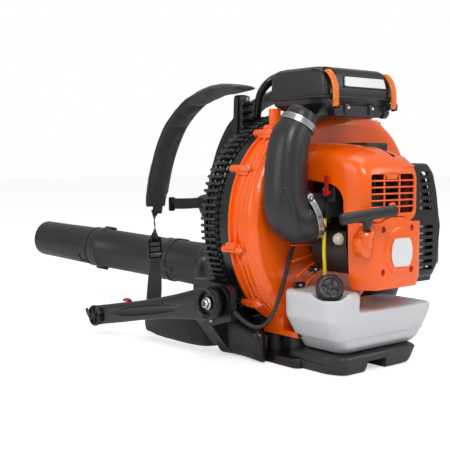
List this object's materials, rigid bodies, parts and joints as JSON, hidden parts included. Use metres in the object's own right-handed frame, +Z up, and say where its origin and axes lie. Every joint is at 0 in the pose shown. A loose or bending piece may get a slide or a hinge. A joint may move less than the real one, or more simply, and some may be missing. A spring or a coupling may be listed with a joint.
{
  "type": "backpack leaf blower",
  "caption": "Petrol backpack leaf blower: engine and fan housing on a harness frame, fuel tank below, air filter on top, hose and tapered tube, throttle arm at the left hip.",
  "frame": {"origin": "point of the flat foot directly under the crank axis, in the plane that parts the two halves of the fan housing", "axes": "+X to the operator's right, +Y forwards along the blower tube, +Z up"},
  "size_m": [0.503, 1.3746, 0.54],
  "materials": {
    "orange_shell": "glossy injection moulded",
    "grey_plastic": "fine grained",
    "black_plastic": "satin",
    "tank_white": "translucent blow moulded",
    "pad_fabric": "quilted mesh",
    "webbing": "woven",
    "rubber_black": "matte",
    "hose_rubber": "satin",
    "cast_alloy": "cast",
    "steel": "plated",
    "exhaust_steel": "heat tinted",
    "latch_orange": "satin",
    "red_plastic": "satin",
    "bulb_clear": "clear",
    "fuel_hose": "glossy",
    "filter_paper": "pleated",
    "rope_fibre": "braided"
  },
  "bodies": {
    "root": {"volute_rear": "orange_shell", "volute_front": "black_plastic", "intake_guard": "black_plastic", "outlet_elbow": "grey_plastic", "crankcase": "cast_alloy", "engine_cylinder": "cast_alloy", "piston": "cast_alloy", "connecting_rod": "steel", "ignition_coil": "black_plastic", "spark_plug": "steel", "plug_cap": "rubber_black", "muffler": "exhaust_steel", "muffler_guard": "black_plastic", "engine_cover": "orange_shell", "starter_housing": "orange_shell", "carburetor": "cast_alloy", "primer_base": "black_plastic", "air_duct": "grey_plastic", "intake_boot": "rubber_black", "band_clamps": "steel", "filter_base": "grey_plastic", "filter_element": "filter_paper", "fuel_tank": "tank_white", "fuel_line": "fuel_hose", "tank_guard": "grey_plastic", "frame_base": "black_plastic", "back_panel": "black_plastic", "arm_bracket": "black_plastic", "antivibration_mounts": "rubber_black", "arm_bolt": "steel", "throttle_cable": "rubber_black", "shoulder_strap_left": "pad_fabric", "shoulder_strap_right": "pad_fabric", "lower_webbing": "webbing", "strap_buckles": "black_plastic", "chest_strap": "webbing", "back_pad": "pad_fabric", "hip_belt": "pad_fabric"},
    "crank": {"crankshaft": "steel", "flywheel": "cast_alloy", "impeller": "black_plastic"},
    "recoil_pulley": {"starter_pulley": "black_plastic", "starter_rope": "rope_fibre"},
    "recoil_grip": {"starter_handle": "grey_plastic"},
    "control_arm": {"throttle_arm": "black_plastic"},
    "throttle_lever": {"throttle_lever": "black_plastic"},
    "stop_switch": {"stop_switch": "red_plastic"},
    "butterfly": {"throttle_plate": "steel"},
    "choke": {"choke_lever": "red_plastic"},
    "primer": {"primer_bulb": "bulb_clear"},
    "cap": {"fuel_cap": "grey_plastic"},
    "left_latch": {"latch_left": "latch_orange"},
    "right_latch": {"latch_right": "latch_orange"},
    "filter_lid": {"filter_cover": "grey_plastic"},
    "hose_link": {"hose_rear_section": "hose_rubber"},
    "hose_end": {"hose_front_section": "hose_rubber"},
    "wand": {"swivel_tube": "grey_plastic", "mid_tube": "grey_plastic", "nozzle_tube": "grey_plastic", "tube_handle": "grey_plastic"}
  },
  "joints": [
    {"name": "crank_spin", "type": "hinge", "parent": "root", "child": "crank", "pos_m": [0, -0.119, 0.218], "axis": [0, 1, 0], "continuous": true},
    {"name": "starter_pull", "type": "slide", "parent": "root", "child": "recoil_grip", "axis": [-0.3609, -0.4211, 0.8321], "range_m": [0, 0.7], "stiffness_N_per_m": 25, "springref_m": -0.15},
    {"name": "pulley_spin", "type": "hinge", "parent": "root", "child": "recoil_pulley", "pos_m": [0, -0.207, 0.218], "axis": [0, -1, 0], "range_deg": [0, 1400]},
    {"name": "arm_swing", "type": "hinge", "parent": "root", "child": "control_arm", "pos_m": [-0.217, 0.014, 0.115], "axis": [1, 0, 0], "range_deg": [0, 95]},
    {"name": "throttle_turn", "type": "hinge", "parent": "control_arm", "child": "throttle_lever", "pos_m": [-0.217, 0.392, 0.041], "axis": [1, 0, 0], "range_deg": [0, 35]},
    {"name": "switch_slide", "type": "slide", "parent": "control_arm", "child": "stop_switch", "axis": [0, 0.9814, -0.1921], "range_m": [0, 0.006]},
    {"name": "butterfly_turn", "type": "hinge", "parent": "root", "child": "butterfly", "pos_m": [-0.066, -0.119, 0.3], "axis": [0, 0, 1], "range_deg": [0, 62]},
    {"name": "choke_turn", "type": "hinge", "parent": "root", "child": "choke", "pos_m": [-0.086, -0.148, 0.316], "axis": [1, 0, 0], "range_deg": [0, 60]},
    {"name": "primer_push", "type": "slide", "parent": "root", "child": "primer", "axis": [1, 0, 0], "range_m": [0, 0.003], "stiffness_N_per_m": 900},
    {"name": "cap_turn", "type": "hinge", "parent": "root", "child": "cap", "pos_m": [-0.098, -0.165, 0.146], "axis": [-0.5206, -0.6608, 0.5406], "range_deg": [0, 540]},
    {"name": "left_latch_turn", "type": "hinge", "parent": "root", "child": "left_latch", "pos_m": [-0.078, -0.154, 0.47], "axis": [1, 0, 0], "range_deg": [0, 110]},
    {"name": "right_latch_turn", "type": "hinge", "parent": "root", "child": "right_latch", "pos_m": [0.078, -0.154, 0.47], "axis": [1, 0, 0], "range_deg": [0, 110]},
    {"name": "lid_lift", "type": "slide", "parent": "root", "child": "filter_lid", "axis": [0, 0, 1], "range_m": [0, 0.12]},
    {"name": "hose_yaw", "type": "hinge", "parent": "root", "child": "hose_link", "pos_m": [0.204, 0.131, 0.0816], "axis": [0, 0, 1], "range_deg": [-20, 3]},
    {"name": "hose_pitch", "type": "hinge", "parent": "hose_link", "child": "hose_end", "pos_m": [0.2015, 0.292, 0.0885], "axis": [1, 0, 0], "range_deg": [-6, 22]},
    {"name": "tube_swivel", "type": "hinge", "parent": "hose_end", "child": "wand", "pos_m": [0.18249, 0.4319, 0.10223], "axis": [-0.2414, 0.9684, 0.0628], "range_deg": [-45, 45]}
  ],
  "couplings": [
    {"joint": "pulley_spin", "follows": "starter_pull", "rad_per_m": 34.13},
    {"joint": "butterfly_turn", "follows": "throttle_turn", "ratio": 1.7143}
  ]
}
